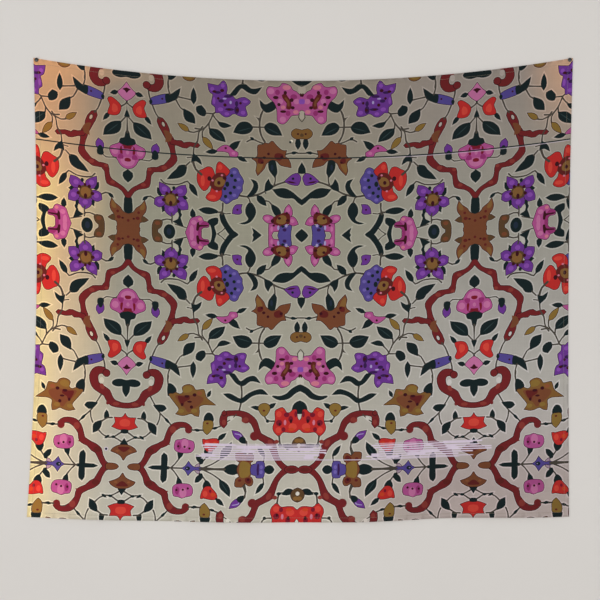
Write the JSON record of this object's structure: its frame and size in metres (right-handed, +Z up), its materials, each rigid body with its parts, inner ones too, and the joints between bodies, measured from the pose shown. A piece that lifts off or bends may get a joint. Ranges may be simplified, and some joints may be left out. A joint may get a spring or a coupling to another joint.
{
  "type": "tapestry wall hanging",
  "caption": "Light printed cloth wall hanging with a mirrored floral pattern, hemmed on every edge and held to a wall by a drawing pin in each top corner.",
  "frame": {"origin": "on the wall's surface, midway between the two pins and at their height", "axes": "+X to the right as the hanging is seen, +Y into the wall, +Z up"},
  "size_m": [1.5354, 0.0199, 1.3058],
  "materials": {
    "printed_cloth": "plain-woven light polyester, printed on the front, soft satin sheen",
    "hem_cloth": "the pale back of the same cloth, turned in twice",
    "seam_thread": "spun polyester sewing thread",
    "black_enamel": "glossy black enamel",
    "needle_steel": "bright drawn steel"
  },
  "bodies": {
    "pinned_corners": {"pinned_corner_left": "hem_cloth", "pinned_corner_right": "hem_cloth", "corner_stitching_left": "seam_thread", "corner_stitching_right": "seam_thread"},
    "cloth": {"cloth_panel": "printed_cloth", "hem_top": "hem_cloth", "hem_bottom": "hem_cloth", "hem_left": "hem_cloth", "hem_right": "hem_cloth", "needle_thread_top": "seam_thread", "needle_thread_bottom": "seam_thread", "needle_thread_left": "seam_thread", "needle_thread_right": "seam_thread", "bobbin_thread_top": "seam_thread", "bobbin_thread_bottom": "seam_thread", "bobbin_thread_left": "seam_thread", "bobbin_thread_right": "seam_thread"},
    "pin_left": {"pin_cap_left": "black_enamel", "pin_needle_left": "needle_steel"},
    "pin_right": {"pin_cap_right": "black_enamel", "pin_needle_right": "needle_steel"}
  },
  "joints": [
    {"name": "cloth_swing", "type": "hinge", "parent": "pinned_corners", "child": "cloth", "pos_m": [0, -0.0016, 0], "axis": [-1, 0, 0], "range_deg": [0, 80]},
    {"name": "pin_pull_left", "type": "slide", "parent": "pinned_corners", "child": "pin_left", "axis": [0, -1, 0], "range_m": [0, 0.014]},
    {"name": "pin_pull_right", "type": "slide", "parent": "pinned_corners", "child": "pin_right", "axis": [0, -1, 0], "range_m": [0, 0.014]}
  ]
}
